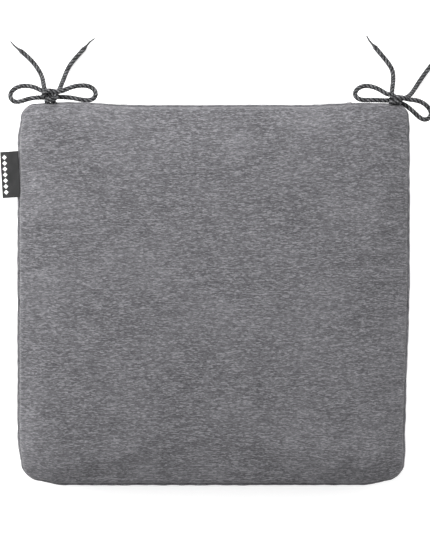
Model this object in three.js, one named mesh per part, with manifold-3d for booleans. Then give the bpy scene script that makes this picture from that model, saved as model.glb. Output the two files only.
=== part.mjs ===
// A square boxed chair seat pad with a zipped cover and a pair of tie cords at each rear corner.
// Millimetres, +Z up, front at -Y, ties at +Y. The origin is the centre of the underside.
import * as THREE from "three";
import { mergeVertices } from "three/addons/utils/BufferGeometryUtils.js";
import Module from "manifold-3d";

const wasm = await Module();
wasm.setup();

// The pad
const padWidth = 400;
const padDepth = 388;
const padHeight = 42;
const rearCornerRadius = 13;
const frontCornerRadius = 30;
const lowerSeamHeight = 5;
const upperSeamHeight = 32;
const bandBulge = 2.5;
const lowerEdgeReach = 8;
const shoulderReach = 30;
const crownRise = 0.8;
const crownReach = 80;
const clothThickness = 1.2;
const gap = 0.3;
const foamTopBelowSeam = 2;
const foamBehindZip = 0.8;
const cornerSteps = 6;
const edgeSteps = 5;

// The zip in the rear band
const rearBandFromCorner = 6;
const zipFromBandEnd = 31;
const zipHeight = 16;
const tapeThickness = 0.6;
const tapeFromSeam = 1.5;
const tapeMargin = 3;
const coilGap = 1.6;
const coilHeight = 2.8;
const coilDepth = 2.4;
const stopLength = 3;
const sliderLength = 9;
const sliderHeight = 9.2;
const sliderPlate = 1.3;
const sliderClearance = 0.6;
const bailLength = 7;
const bailWidth = 2;
const bailThickness = 1;
const pullLength = 22;
const pullWidth = 7;
const pullThickness = 1.4;
const pullClearance = 0.4;
const pullSwingRoom = 1.5;
const pullRounding = 2.1;

// The ribbon label in the left seam
const labelLength = 19;
const labelWidth = 47;
const labelThickness = 1.5;
const labelSlit = 0.3;
const labelFromRear = 71;
const labelDroop = 10;
const labelStandOff = 1;

// The tie cords
const cordDiameter = 4.7;
const cordSides = 8;
const cordStep = 11;
const stemSpacing = 6;
const tipLength = 12;
const tipThread = 0.5;
const leftTieFromSide = 36;
const rightTieFromSide = 16;

const rear = padDepth / 2;
const side = padWidth / 2;
const bandMiddle = (lowerSeamHeight + upperSeamHeight) / 2;
const bandHalf = (upperSeamHeight - lowerSeamHeight) / 2;
const seamGap = gap / 2;

// Places through the zip's depth, from the filling out to the pull
const tapeFace = rear - bandBulge - clothThickness - gap;
const tapeBack = tapeFace - tapeThickness;
const innerPlateFace = tapeBack - gap - sliderPlate;
const foamInset = rear - innerPlateFace + foamBehindZip;
const coilBack = tapeFace + gap;
const coilFace = coilBack + coilDepth;
const plateBack = coilFace + gap;
const plateFace = plateBack + sliderPlate;
const bailClearance = pullThickness + 2 * pullClearance;

// Places along the zip
const rearBandHalf = side - rearCornerRadius - rearBandFromCorner;
const zipLength = 2 * (rearBandHalf - zipFromBandEnd);
const coilEnd = zipLength / 2 - 2 * tapeMargin;
const coilStart = -zipLength / 2 + tapeMargin;
const sliderRest = coilEnd - sliderLength / 2 - 2 * gap;

const cloth = new THREE.MeshStandardMaterial({ color: 0x77767b, roughness: 0.95, metalness: 0 });
const foam = new THREE.MeshStandardMaterial({ color: 0xd9d2b4, roughness: 1, metalness: 0 });
const fibre = new THREE.MeshStandardMaterial({ color: 0xeeeeec, roughness: 1, metalness: 0 });
const zipTape = new THREE.MeshStandardMaterial({ color: 0x3c3c41, roughness: 0.9, metalness: 0 });
const zipCoil = new THREE.MeshStandardMaterial({ color: 0x2e2e32, roughness: 0.5, metalness: 0 });
const zipMetal = new THREE.MeshStandardMaterial({ color: 0x4a4a4f, roughness: 0.4, metalness: 0.8 });
const ribbon = new THREE.MeshStandardMaterial({ color: 0x34353a, roughness: 0.55, metalness: 0 });
const braid = new THREE.MeshStandardMaterial({ color: 0x3a3c42, roughness: 0.8, metalness: 0 });

const seatPad = new THREE.Group();

// A closed geometry as a solid for cutting and joining
function solidOf(geometry) {
  const bare = geometry.clone();
  bare.deleteAttribute("normal");
  bare.deleteAttribute("uv");
  const merged = mergeVertices(bare);
  const vertProperties = new Float32Array(merged.attributes.position.array);
  const triVerts = new Uint32Array(merged.index.array);
  return new wasm.Manifold(new wasm.Mesh({ numProp: 3, vertProperties, triVerts }));
}

// A solid or a geometry as a named mesh in a group
function addPiece(name, shape, material, parent = seatPad) {
  let geometry = shape;
  if (!shape.isBufferGeometry) {
    const { vertProperties, triVerts } = shape.getMesh();
    geometry = new THREE.BufferGeometry();
    geometry.setAttribute("position", new THREE.BufferAttribute(vertProperties, 3));
    geometry.setIndex(new THREE.BufferAttribute(triVerts, 1));
  }
  const mesh = new THREE.Mesh(geometry, material.clone());
  mesh.name = name;
  parent.add(mesh);
  return mesh;
}

// A box from its lowest to its highest corner
function boxBetween(low, high) {
  const size = high.map((value, i) => value - low[i]);
  return new THREE.BoxGeometry(...size).translate(...low.map((value, i) => value + size[i] / 2));
}

// The pad's plan, anticlockwise, moved in by an inset
function plan(inset) {
  const halfWidth = side - inset;
  const halfDepth = rear - inset;
  const corners = [
    [1, 1, rearCornerRadius],
    [-1, 1, rearCornerRadius],
    [-1, -1, frontCornerRadius],
    [1, -1, frontCornerRadius],
  ];
  return corners.flatMap(([sideX, sideY, fullRadius], corner) => {
    const radius = Math.max(fullRadius - inset, 2);
    const start = (corner * Math.PI) / 2;
    return Array.from({ length: cornerSteps + 1 }, (_, i) => {
      const angle = start + ((Math.PI / 2) * i) / cornerSteps;
      return new THREE.Vector2(
        sideX * (halfWidth - radius) + radius * Math.cos(angle),
        sideY * (halfDepth - radius) + radius * Math.sin(angle),
      );
    });
  });
}

// A solid through plans at rising heights, each level given as its inset and height
function stackedSolid(levels) {
  const rings = levels.map(([inset, z]) => plan(inset).map((p) => [p.x, p.y, z]));
  const count = rings[0].length;
  const index = [];
  for (let level = 0; level + 1 < rings.length; level++) {
    for (let i = 0; i < count; i++) {
      const a = level * count + i;
      const b = level * count + ((i + 1) % count);
      index.push(a, b, b + count, a, b + count, a + count);
    }
  }
  const last = (rings.length - 1) * count;
  const capOf = (inset) => THREE.ShapeUtils.triangulateShape(plan(inset), []);
  capOf(levels[0][0]).forEach(([a, b, c]) => index.push(a, c, b));
  capOf(levels.at(-1)[0]).forEach(([a, b, c]) => index.push(last + a, last + b, last + c));
  const geometry = new THREE.BufferGeometry();
  geometry.setAttribute("position", new THREE.Float32BufferAttribute(rings.flat(2), 3));
  geometry.setIndex(index);
  return solidOf(geometry);
}

// The levels of the rounded lower edge, moved inwards by an offset
function lowerEdge(offset) {
  return Array.from({ length: edgeSteps }, (_, i) => {
    const angle = (Math.PI / 2) * (1 - i / (edgeSteps - 1));
    const inset = bandBulge + lowerEdgeReach * (1 - Math.cos(angle));
    return [inset + offset, lowerSeamHeight * (1 - Math.sin(angle)) + offset];
  });
}

// The levels of the rounded shoulder and the crown, moved inwards by an offset
function crown(offset) {
  const rise = padHeight - upperSeamHeight - crownRise;
  const levels = Array.from({ length: edgeSteps + 2 }, (_, i) => {
    const angle = ((Math.PI / 2) * i) / (edgeSteps + 1);
    const inset = bandBulge + shoulderReach * (1 - Math.cos(angle));
    return [inset + offset, upperSeamHeight + rise * Math.sin(angle) - offset];
  });
  return [...levels, [bandBulge + crownReach + offset, padHeight - offset]];
}

// The levels of the bulging band, moved inwards by an offset and run past its edges by a margin
function band(offset, margin) {
  const half = bandHalf + margin;
  return Array.from({ length: edgeSteps + 2 }, (_, i) => {
    const height = half * ((2 * i) / (edgeSteps + 1) - 1);
    return [bandBulge * (height / bandHalf) ** 2 + offset, bandMiddle + height];
  });
}

function addPadCover() {
  const lowerRim = (offset) => [[bandBulge + offset, lowerSeamHeight - seamGap + offset]];
  const upperRim = (offset) => [[bandBulge + offset, upperSeamHeight + seamGap - offset]];
  const tray = stackedSolid([...lowerEdge(0).slice(0, -1), ...lowerRim(0)]);
  const trayHollow = stackedSolid(lowerEdge(clothThickness));
  addPiece("bottom_panel", tray.subtract(trayHollow), cloth);

  const dome = stackedSolid([...upperRim(0), ...crown(0).slice(1)]);
  const domeHollow = stackedSolid([...upperRim(clothThickness), ...crown(clothThickness).slice(1)]);
  addPiece("top_panel", dome.subtract(domeHollow), cloth);

  const ring = stackedSolid(band(0, -seamGap)).subtract(stackedSolid(band(clothThickness, 1)));
  const slot = sliderHeight / 2 + sliderClearance;
  const rearBox = (half, low, high) =>
    boxBetween([-half, rear - rearCornerRadius, low], [half, rear + gap, high]);
  const rearOpening = rearBox(rearBandHalf, 0, padHeight);
  const upperStrip = rearBox(rearBandHalf - gap, zipHeight + slot, padHeight);
  const lowerStrip = rearBox(rearBandHalf - gap, 0, zipHeight - slot);
  addPiece("side_band", ring.subtract(solidOf(rearOpening)), cloth);
  addPiece("rear_band_upper", ring.intersect(solidOf(upperStrip)), cloth);
  addPiece("rear_band_lower", ring.intersect(solidOf(lowerStrip)), cloth);
}

function addFilling() {
  const clear = clothThickness + gap;
  const keptInside = ([inset, z]) => [Math.max(inset, foamInset), z];
  const foamTop = upperSeamHeight - foamTopBelowSeam;
  const slab = [...lowerEdge(clear).map(keptInside), [foamInset, foamTop]];
  addPiece("foam_core", stackedSolid(slab), foam);
  const layer = [[foamInset, foamTop + gap], ...crown(clear).map(keptInside)];
  addPiece("wadding_top", stackedSolid(layer), fibre);
}

// One side of the zip: a tape from the chain's middle to the seam, with its row of coil and its stop
function addZipRow(row, middleEdge, seamEdge) {
  const [tapeLow, tapeHigh] = [middleEdge, seamEdge].sort((a, b) => a - b);
  const tape = boxBetween([-zipLength / 2, tapeBack, tapeLow], [zipLength / 2, tapeFace, tapeHigh]);
  addPiece("zip_tape_" + row, tape, zipTape);
  const coilLow = row === "upper" ? middleEdge : middleEdge - coilHeight;
  const coilHigh = coilLow + coilHeight;
  const coil = boxBetween([coilStart, coilBack, coilLow], [coilEnd, coilFace, coilHigh]);
  addPiece("zip_coil_" + row, coil, zipCoil);
  const stop = boxBetween(
    [coilEnd + gap, coilBack, coilLow],
    [coilEnd + gap + stopLength, coilFace + gap, coilHigh],
  );
  addPiece("zip_top_stop_" + row, stop, zipMetal);
}

function addZip() {
  addZipRow("upper", zipHeight + coilGap / 2, upperSeamHeight - tapeFromSeam);
  addZipRow("lower", zipHeight - coilGap / 2, lowerSeamHeight + tapeFromSeam);
  const reach = coilGap / 2 + coilHeight;
  const bottomStop = boxBetween(
    [coilStart - gap - stopLength, coilBack, zipHeight - reach],
    [coilStart - gap, coilFace + gap, zipHeight + reach],
  );
  addPiece("zip_bottom_stop", bottomStop, zipMetal);
}

// The slider has a plate on each side of the tapes, joined by a post between the coils, and a bail
function addSlider() {
  const half = sliderLength / 2;
  const plateHalf = sliderHeight / 2;
  const post = coilGap / 2 - gap;
  const plates = [
    boxBetween([-half, plateBack, -plateHalf], [half, plateFace, plateHalf]),
    boxBetween([-half, innerPlateFace, -plateHalf], [half, tapeBack - gap, plateHalf]),
    boxBetween([-half + gap, tapeBack - 2 * gap, -post], [half - gap, plateBack + gap, post]),
  ].map(solidOf);
  const arch = new THREE.Shape();
  const outer = bailLength / 2;
  const inner = outer - bailThickness;
  const top = bailClearance + bailThickness;
  arch.moveTo(-outer, -gap);
  arch.lineTo(-inner, -gap);
  arch.lineTo(-inner, bailClearance);
  arch.lineTo(inner, bailClearance);
  arch.lineTo(inner, -gap);
  arch.lineTo(outer, -gap);
  arch.lineTo(outer, top - bailThickness);
  arch.lineTo(inner, top);
  arch.lineTo(-inner, top);
  arch.lineTo(-outer, top - bailThickness);
  arch.closePath();
  const bail = new THREE.ExtrudeGeometry(arch, { depth: bailWidth, bevelEnabled: false });
  bail.translate(0, plateFace, -bailWidth / 2);
  const body = plates.reduce((whole, plate) => whole.add(plate)).add(solidOf(bail));
  const slider = addPiece("zip_slider", body, zipMetal);
  slider.position.set(sliderRest, 0, zipHeight);

  // The pull turns on a bar under the bail, which stands in the pull's window
  const pull = new THREE.Group();
  pull.position.set(sliderRest, plateFace + bailClearance / 2, zipHeight);
  const tab = new THREE.Shape();
  const halfWidth = pullWidth / 2;
  const cornerX = -pullLength + pullRounding;
  const cornerY = halfWidth - pullRounding;
  tab.moveTo(0, -halfWidth);
  tab.lineTo(0, halfWidth);
  tab.lineTo(cornerX, halfWidth);
  tab.absarc(cornerX, cornerY, pullRounding, Math.PI / 2, Math.PI);
  tab.lineTo(-pullLength, -cornerY);
  tab.absarc(cornerX, -cornerY, pullRounding, Math.PI, (3 * Math.PI) / 2);
  tab.closePath();
  const windowHalf = bailWidth / 2 + pullClearance;
  const windowLength = Math.hypot(outer, top - bailClearance / 2) + pullSwingRoom;
  const window = boxBetween(
    [-windowLength, -windowHalf, -pullThickness],
    [pullThickness, windowHalf, pullThickness],
  );
  const plate = new THREE.ExtrudeGeometry(tab, {
    depth: pullThickness,
    bevelEnabled: false,
    curveSegments: 4,
  }).translate(0, 0, -pullThickness / 2);
  const bar = new THREE.CylinderGeometry(pullThickness / 2, pullThickness / 2, pullWidth, 12);
  const pullBody = solidOf(plate).subtract(solidOf(window)).add(solidOf(bar));
  const pullMesh = addPiece("zip_pull", pullBody, zipMetal, pull);
  pullMesh.rotation.x = Math.PI / 2;
  seatPad.add(pull);
}

// A ribbon folded at its outer end, which flexes just outside the seam that holds it
function addLabel() {
  const thick = labelThickness / 2;
  const slit = labelSlit / 2;
  const fold = labelLength - thick;
  const section = new THREE.Shape();
  section.moveTo(-gap, slit);
  section.lineTo(-fold, slit);
  section.lineTo(-fold, -slit);
  section.lineTo(-gap, -slit);
  section.lineTo(-gap, -thick);
  section.lineTo(-fold, -thick);
  section.absarc(-fold, 0, thick, -Math.PI / 2, Math.PI / 2, true);
  section.lineTo(-gap, thick);
  section.closePath();
  const loop = new THREE.ExtrudeGeometry(section, {
    depth: labelWidth,
    bevelEnabled: false,
    curveSegments: 4,
  }).translate(0, 0, -labelWidth / 2);
  const hinge = new THREE.Group();
  hinge.position.set(-side + bandBulge - labelStandOff, rear - labelFromRear, upperSeamHeight);
  hinge.rotation.y = -THREE.MathUtils.degToRad(labelDroop);
  const label = addPiece("side_label", loop, ribbon, hinge);
  label.rotation.x = Math.PI / 2;
  seatPad.add(hinge);
}

// Routes of the cords' centrelines from each tie's place on the upper rear seam, chosen by hand.
// A loop leaves the knot and comes back to it, and a tail drops from the knot to the surface.
const leftTie = {
  knot: { centre: [0, 12, -1], size: [10, 6.3, 6.2] },
  loop_a: [
    [-5, 14, 2], [-11, 17.2, 2], [-18, 20, -1], [-25.2, 21.6, -4.4], [-31.4, 21.8, -6.8],
    [-36.8, 20.6, -8], [-41.2, 17.6, -8.2], [-43.7, 13.2, -7.4], [-43, 8.4, -6],
    [-39.4, 5.4, -4.6], [-34.6, 5, -3.4], [-29, 6.6, -2.4], [-22, 9, -1.8], [-14, 11, -1.8],
    [-5, 11.4, -2],
  ],
  loop_b: [
    [4, 14, 2], [10, 17.6, 2], [17, 19.8, -0.6], [24.4, 21.6, -4], [31, 22.4, -6.6],
    [37, 21.8, -8], [41.8, 19, -8.3], [44.2, 14.8, -7.6], [43.4, 10.2, -6.2],
    [39.8, 7.2, -4.8], [34.6, 6.6, -3.6], [28.6, 7.4, -2.6], [21.6, 9.2, -2], [14, 11.1, -1.8],
    [5, 11.4, -2],
  ],
  tail_a: [
    [-4, 12, -3], [-7.4, 16.2, -5.8], [-9.2, 20, -10.2], [-10.3, 23.8, -15.8], [-11.3, 27.8, -21.4],
    [-12.6, 32.2, -26.1], [-14.8, 37.4, -28.9], [-18.8, 44.2, -29.5], [-25.6, 52.4, -29.5],
    [-35, 60.3, -29.5],
  ],
  tail_b: [
    [3.5, 12, -3], [6.2, 16.6, -5.8], [7.3, 20.6, -10.2], [8.1, 24.6, -15.8], [9, 28.8, -21.4],
    [10.2, 33.4, -26.1], [11.8, 38.6, -28.9], [14.8, 45, -29.5], [21, 52.9, -29.5],
    [30.4, 63, -29.5],
  ],
};
const rightTie = {
  knot: { centre: [2.5, 8.4, -0.6], size: [8.6, 6, 6] },
  loop_a: [
    [-1, 9.5, 2], [-6, 12.2, 2.2], [-11.5, 15.8, 0.8], [-18, 19.2, -2], [-24.4, 21.4, -4.8],
    [-30.2, 22, -7], [-35.4, 20.4, -8.2], [-39.2, 16.8, -8.2], [-40, 12.2, -7], [-37.2, 8.6, -5.6],
    [-32.4, 7, -4.2], [-26.6, 7, -3.2], [-20.6, 7, -2.6], [-14.6, 6.8, -2.4], [-8.4, 6.6, -2.6],
    [-2, 7, -2.6],
  ],
  loop_b: [
    [5, 8, 2], [11.5, 7.2, 2.2], [18, 7, 0.6], [24.2, 6.2, -2], [29.8, 4.2, -4.6],
    [34.6, 0.8, -6.8], [37.8, -3.6, -8], [38.2, -8.4, -7.8], [35.2, -12, -6.8], [30.6, -13, -5.6],
    [26.2, -11, -4.6], [22, -7.2, -3.8], [17.8, -3.2, -3.2], [13.2, 0.6, -3], [8.4, 3.8, -3],
    [3, 6, -3],
  ],
  tail_a: [
    [0, 10, -2.6], [-1.4, 14, -5.4], [-1, 18, -9.8], [-0.3, 22, -15.4], [0.5, 26, -21],
    [1.3, 30.4, -26], [1.7, 35.6, -28.9], [0.6, 42, -29.5], [-4.4, 49.4, -29.5],
    [-10.4, 56.4, -29.5], [-17, 64.4, -29.5],
  ],
  tail_b: [
    [4, 9.5, -2.6], [8.8, 12.4, -5.4], [12.8, 14.8, -9.8], [16.4, 17.4, -15.4], [19.8, 20.4, -21],
    [23.2, 24, -26], [26.8, 28.4, -28.9], [31, 33.8, -29.5], [37, 41.2, -29.5],
    [45.4, 50.9, -29.5],
  ],
};

function cordTube(points) {
  const route = new THREE.CatmullRomCurve3(points.map((p) => new THREE.Vector3(...p)));
  const section = new THREE.Shape().absarc(0, 0, cordDiameter / 2, 0, 2 * Math.PI);
  const steps = Math.max(2, Math.round(route.getLength() / cordStep));
  return new THREE.ExtrudeGeometry(section, {
    extrudePath: route,
    steps,
    curveSegments: cordSides / 2,
  });
}

// The drawn end of a cord, which thins from the braid to a fine hard thread
function cordTip() {
  const outline = [
    [0, 0],
    [cordDiameter * 0.45, 0],
    [cordDiameter * 0.3, tipLength * 0.2],
    [tipThread * 1.3, tipLength * 0.5],
    [tipThread, tipLength],
    [0, tipLength],
  ];
  return new THREE.LatheGeometry(outline.map(([r, along]) => new THREE.Vector2(r, along)), cordSides);
}

function knotSolid(knot, margin) {
  const ball = new THREE.SphereGeometry(1, 16, 10);
  ball.scale(...knot.size.map((half) => half + margin));
  return solidOf(ball.translate(...knot.centre));
}

function addTie(name, tie, across) {
  const group = new THREE.Group();
  group.position.set(across, rear - bandBulge, upperSeamHeight);
  seatPad.add(group);
  addPiece(name + "_knot", knotSolid(tie.knot, 0), braid, group);
  const around = knotSolid(tie.knot, gap);
  const [knotX, knotY, knotZ] = tie.knot.centre;
  const bandBelowCord = bandBulge * (1 - (1 - cordDiameter / 2 / bandHalf) ** 2);
  for (const [arm, stemX] of [["a", -stemSpacing / 2], ["b", stemSpacing / 2]]) {
    const stem = [
      [stemX, bandBelowCord + gap, 0],
      [stemX + knotX * 0.3, knotY * 0.4, knotZ * 0.4],
      [stemX + knotX * 0.6, knotY, knotZ],
    ];
    const tail = tie["tail_" + arm];
    addPiece(name + "_stem_" + arm, solidOf(cordTube(stem)).subtract(around), braid, group);
    addPiece(name + "_loop_" + arm, solidOf(cordTube(tie["loop_" + arm])).subtract(around), braid, group);
    addPiece(name + "_tail_" + arm, solidOf(cordTube(tail)).subtract(around), braid, group);
    const end = new THREE.Vector3(...tail.at(-1));
    const route = new THREE.CatmullRomCurve3(tail.map((p) => new THREE.Vector3(...p)));
    const onward = route.getTangentAt(1);
    const tip = addPiece(name + "_tip_" + arm, cordTip(), braid, group);
    tip.quaternion.setFromUnitVectors(new THREE.Vector3(0, 1, 0), onward);
    tip.position.copy(end).addScaledVector(onward, gap);
  }
}

addPadCover();
addFilling();
addZip();
addSlider();
addLabel();
addTie("tie_left", leftTie, leftTieFromSide - side);
addTie("tie_right", rightTie, side - rightTieFromSide);

export default seatPad;
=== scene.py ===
import math

import bpy
import numpy as np
from mathutils import Matrix, Vector, noise


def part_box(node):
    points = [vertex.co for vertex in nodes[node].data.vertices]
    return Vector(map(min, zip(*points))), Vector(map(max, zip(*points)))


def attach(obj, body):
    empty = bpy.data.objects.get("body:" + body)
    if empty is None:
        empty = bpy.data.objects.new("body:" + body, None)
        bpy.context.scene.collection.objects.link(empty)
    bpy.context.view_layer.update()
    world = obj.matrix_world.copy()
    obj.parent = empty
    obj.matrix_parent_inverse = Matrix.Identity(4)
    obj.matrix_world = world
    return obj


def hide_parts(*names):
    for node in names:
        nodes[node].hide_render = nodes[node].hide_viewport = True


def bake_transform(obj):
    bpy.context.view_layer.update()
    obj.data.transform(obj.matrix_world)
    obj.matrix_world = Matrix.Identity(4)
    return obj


# A boxed chair seat pad in grey melange cloth: zipped cover, woven side label, a bow at each rear corner.
# Metres throughout. +Y is the rear edge with the ties, and the underside lies on z = 0.

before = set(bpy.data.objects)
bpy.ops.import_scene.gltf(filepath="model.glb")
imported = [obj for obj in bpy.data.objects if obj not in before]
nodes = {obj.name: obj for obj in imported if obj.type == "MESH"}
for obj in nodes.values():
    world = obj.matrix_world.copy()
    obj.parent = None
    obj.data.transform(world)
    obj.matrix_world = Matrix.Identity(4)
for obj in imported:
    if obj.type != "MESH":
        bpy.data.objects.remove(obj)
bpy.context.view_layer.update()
mm = 0.001

bpy.context.scene.view_settings.view_transform = "Standard"


# Small helpers

def deselectAll():
    if bpy.context.mode != "OBJECT":
        bpy.ops.object.mode_set(mode="OBJECT")
    bpy.ops.object.select_all(action="DESELECT")


def pick(obj):
    deselectAll()
    obj.select_set(True)
    bpy.context.view_layer.objects.active = obj
    return obj


def pointsOf(obj):
    co = np.zeros(len(obj.data.vertices) * 3)
    obj.data.vertices.foreach_get("co", co)
    return co.reshape(-1, 3)


def setPoints(obj, co):
    obj.data.vertices.foreach_set("co", np.asarray(co, float).ravel())
    obj.data.update()


def meshPiece(name, verts, faces):
    data = bpy.data.meshes.new(name)
    data.from_pydata([tuple(map(float, v)) for v in verts], [], faces)
    data.update()
    obj = bpy.data.objects.new(name, data)
    bpy.context.scene.collection.objects.link(obj)
    return obj


def applyAll(obj):
    pick(obj)
    for modifier in list(obj.modifiers):
        bpy.ops.object.modifier_apply(modifier=modifier.name)


def editAll(obj):
    pick(obj)
    bpy.ops.object.mode_set(mode="EDIT")
    bpy.ops.mesh.select_all(action="SELECT")


def faceOutwards(obj):
    editAll(obj)
    bpy.ops.mesh.normals_make_consistent(inside=False)
    bpy.ops.object.mode_set(mode="OBJECT")


def smooth(obj, angle=None):
    pick(obj)
    if angle is None:
        bpy.ops.object.shade_smooth()
    else:
        bpy.ops.object.shade_smooth_by_angle(angle=math.radians(angle))


def rounded(piece, width, segments=2):
    bevel = piece.modifiers.new("rounding", "BEVEL")
    bevel.width = width
    bevel.segments = segments
    bevel.limit_method = "ANGLE"
    bevel.angle_limit = math.radians(35)  # sharper edges than this are rounded
    applyAll(piece)
    smooth(piece, 40)


def standsFor(piece, node, body):
    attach(piece, body)
    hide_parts(node)
    return piece


def ramp(low, high, value):
    t = np.clip((np.asarray(value, float) - low) / (high - low), 0, 1)
    return t * t * (3 - 2 * t)


def bump(value, centre, half):
    t = np.clip(np.abs(np.asarray(value, float) - centre) / half, 0, 1)
    return (1 - t * t) ** 2


# Camera

cameraSet = {"aim": (0.0015, 0.027, 0.02), "height": 1.7, "width": 0.44}

cameraData = bpy.data.cameras.new("camera")
cameraData.sensor_fit = "HORIZONTAL"
cameraData.lens = cameraData.sensor_width * cameraSet["height"] / cameraSet["width"]
camera = bpy.data.objects.new("camera", cameraData)
camera.location = Vector(cameraSet["aim"]) + Vector((0, 0, cameraSet["height"]))
bpy.context.scene.collection.objects.link(camera)
bpy.context.scene.camera = camera
print("camera made")


# Tie cords: each arm is one cord, out of the seam, through the knot, round its loop and out as a tail

cordSet = {
    "diameter": 4.7 * mm,
    "strandsEachWay": 6,
    "lay": 14 * mm,  # one full turn of a strand
    "step": 0.36 * mm,
    "strandWidth": 1.85 * mm,
    "strandThickness": 0.76 * mm,
    "strandShoulder": 0.1,  # how far in a strand's sides lie, as a share of half its thickness
    "weaveDepth": 0.24 * mm,
    "coreRadius": 1.4 * mm,
    "coreSides": 8,
    "corePerStep": 5,  # steps of a strand to one of the core
    "fuzz": 0.18 * mm,  # how far the fibres stand off the round
    "yarns": {  # how light each strand is, for the two ways round
        1: (0.95, 0.3, 0.7, 0.1, 0.85, 0.4),
        -1: (0.2, 0.65, 0.05, 0.5, 0.3, 0.75),
    },
}

# Routes in millimetres from the point where the pair of cords leaves the seam, x to the right, y to the rear.
# Arm a goes through, round its loop, behind the knot and out as tail b, and arm b goes out as tail a.
leftTie = {
    "anchor": (-164, 191.5, 32),
    "knotCentre": (0, 12, -1),
    "throughA": [
        (-5, 4.2, -1), (-7.4, 7.2, 2), (-3.6, 6.8, 4.8), (1, 6.2, 5.4), (5.2, 7.8, 4.6), (6, 10.8, 2.4),
        (0.6, 12.2, 1.2),
    ],
    "loopA": [
        (-7, 14.2, 0.8), (-12.4, 17, 1), (-18, 20, -1), (-25.2, 21.6, -4.4), (-31.4, 21.8, -6.8),
        (-36.8, 20.6, -8), (-41.2, 17.6, -8.2), (-43.7, 13.2, -7.4), (-43, 8.4, -6), (-39.4, 5.4, -4.6),
        (-34.6, 5, -3.4), (-29, 6.6, -2.4), (-22, 8.8, -2), (-14, 9.8, -2.8), (-6, 9.4, -4),
    ],
    "behindA": [(-1, 9.8, -4.6)],
    "throughB": [
        (2.6, 4.6, -2), (0, 7.6, -1.6), (-5, 8.6, -1), (-9.6, 10.8, 2), (-9, 13.6, 4.6), (-4.6, 16.6, 5.2),
        (0.4, 15.6, 4.8), (5.6, 13.8, 3.4),
    ],
    "loopB": [
        (11.4, 16, 1.8), (17, 19, -0.6), (24.4, 21.6, -4), (31, 22.4, -6.6),
        (37, 21.8, -8), (41.8, 19, -8.3), (44.2, 14.8, -7.6), (43.4, 10.2, -6.2), (39.8, 7.2, -4.8),
        (34.6, 6.6, -3.6), (28.6, 7.4, -2.6), (21.6, 9, -2.4), (14, 10, -3.6), (6, 10.4, -6.4),
    ],
    "behindB": [(0.6, 12.4, -8.6)],
    "tailA": [
        (-4, 13.8, -9), (-7.6, 16, -9.4), (-9.2, 20, -12), (-10.3, 23.8, -15.8), (-11.3, 27.8, -21.4),
        (-12.6, 32.2, -26.1), (-14.8, 37.4, -28.9), (-18.8, 44.2, -29.5), (-25.6, 52.4, -29.5),
        (-35, 60.3, -29.5),
    ],
    "tailB": [
        (3.5, 12.8, -5.2), (6.2, 16.6, -6.8), (7.3, 20.6, -10.6), (8.1, 24.6, -15.8), (9, 28.8, -21.4),
        (10.2, 33.4, -26.1), (11.8, 38.6, -28.9), (14.8, 45, -29.5), (21, 52.9, -29.5), (30.4, 63, -29.5),
    ],
}

rightTie = {
    "anchor": (184, 191.5, 32),
    "knotCentre": (2.5, 8.4, -0.6),
    "throughA": [
        (-4.6, 3.4, -0.4), (-5.2, 5.4, 3), (-0.8, 4.8, 5.2), (4.2, 4.2, 5.2), (8.2, 5.4, 3.4),
        (6.4, 8.4, 1.6), (1.6, 8.8, 1.2),
    ],
    "loopA": [
        (-3, 9.8, 1.6), (-7, 11.8, 2), (-12, 15.2, 0.8), (-18, 19.2, -2), (-24.4, 21.4, -4.8),
        (-30.2, 22, -7), (-35.4, 20.4, -8.2), (-39.2, 16.8, -8.2), (-40, 12.2, -7), (-37.2, 8.6, -5.6),
        (-32.4, 7, -4.2), (-26.6, 7, -3.2), (-20.6, 7, -2.6), (-14.6, 6.8, -2.4), (-8.4, 6.4, -3),
        (-2, 6.8, -4.4),
    ],
    "behindA": [(1.6, 7.4, -5.2)],
    "throughB": [
        (2.8, 3.6, -2), (-0.6, 6, -1.8), (-5, 7.2, 0.6), (-4, 8.8, 4), (0.2, 9.6, 5.2), (4, 8.8, 5),
        (7.6, 7.4, 4),
    ],
    "loopB": [
        (11.5, 7.2, 2.2), (18, 7, 0.6), (24.2, 6.2, -2), (29.8, 4.2, -4.6), (34.6, 0.8, -6.8),
        (37.8, -3.6, -8), (38.2, -8.4, -7.8), (35.2, -12, -6.8), (30.6, -13, -5.6), (26.2, -11, -4.6),
        (22, -7.2, -3.8), (17.8, -3.2, -3.2), (13.2, 0.6, -3.6), (8.6, 3.8, -5), (3.6, 6.4, -7.6),
    ],
    "behindB": [(-0.4, 8.8, -9)],
    "tailA": [
        (-2, 12, -9.6), (-1.4, 17, -12), (-0.5, 21.6, -16), (0.5, 26, -21),
        (1.3, 30.4, -26), (1.7, 35.6, -28.9), (0.6, 42, -29.5), (-4.4, 49.4, -29.5), (-10.4, 56.4, -29.5),
        (-17, 64.4, -29.5),
    ],
    "tailB": [
        (5.2, 8, -5.6), (9.4, 8.6, -6.8), (13, 10.2, -9.8), (16.8, 12.6, -14.6), (20, 16, -20),
        (23, 20.2, -25), (26.4, 25.2, -28.4), (30.6, 31.6, -29.5), (36.8, 40.4, -29.5), (45.4, 50.9, -29.5),
    ],
}


def splineThrough(points, step):
    # A smooth curve by uniform cubic pieces, then spaced evenly
    pts = np.array(points, float)
    pts = np.vstack([2 * pts[0] - pts[1], pts, 2 * pts[-1] - pts[-2]])
    perPiece = 24
    t = np.linspace(0, 1, perPiece, endpoint=False)[:, None]
    out = []
    for a, b, c, d in zip(pts, pts[1:], pts[2:], pts[3:]):
        out.append(((1 - t) ** 3 * a + (3 * t**3 - 6 * t**2 + 4) * b
                    + (-3 * t**3 + 3 * t**2 + 3 * t + 1) * c + t**3 * d) / 6)
    line = np.vstack(out + [pts[-2][None]])
    return evenly(line, step)


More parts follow.
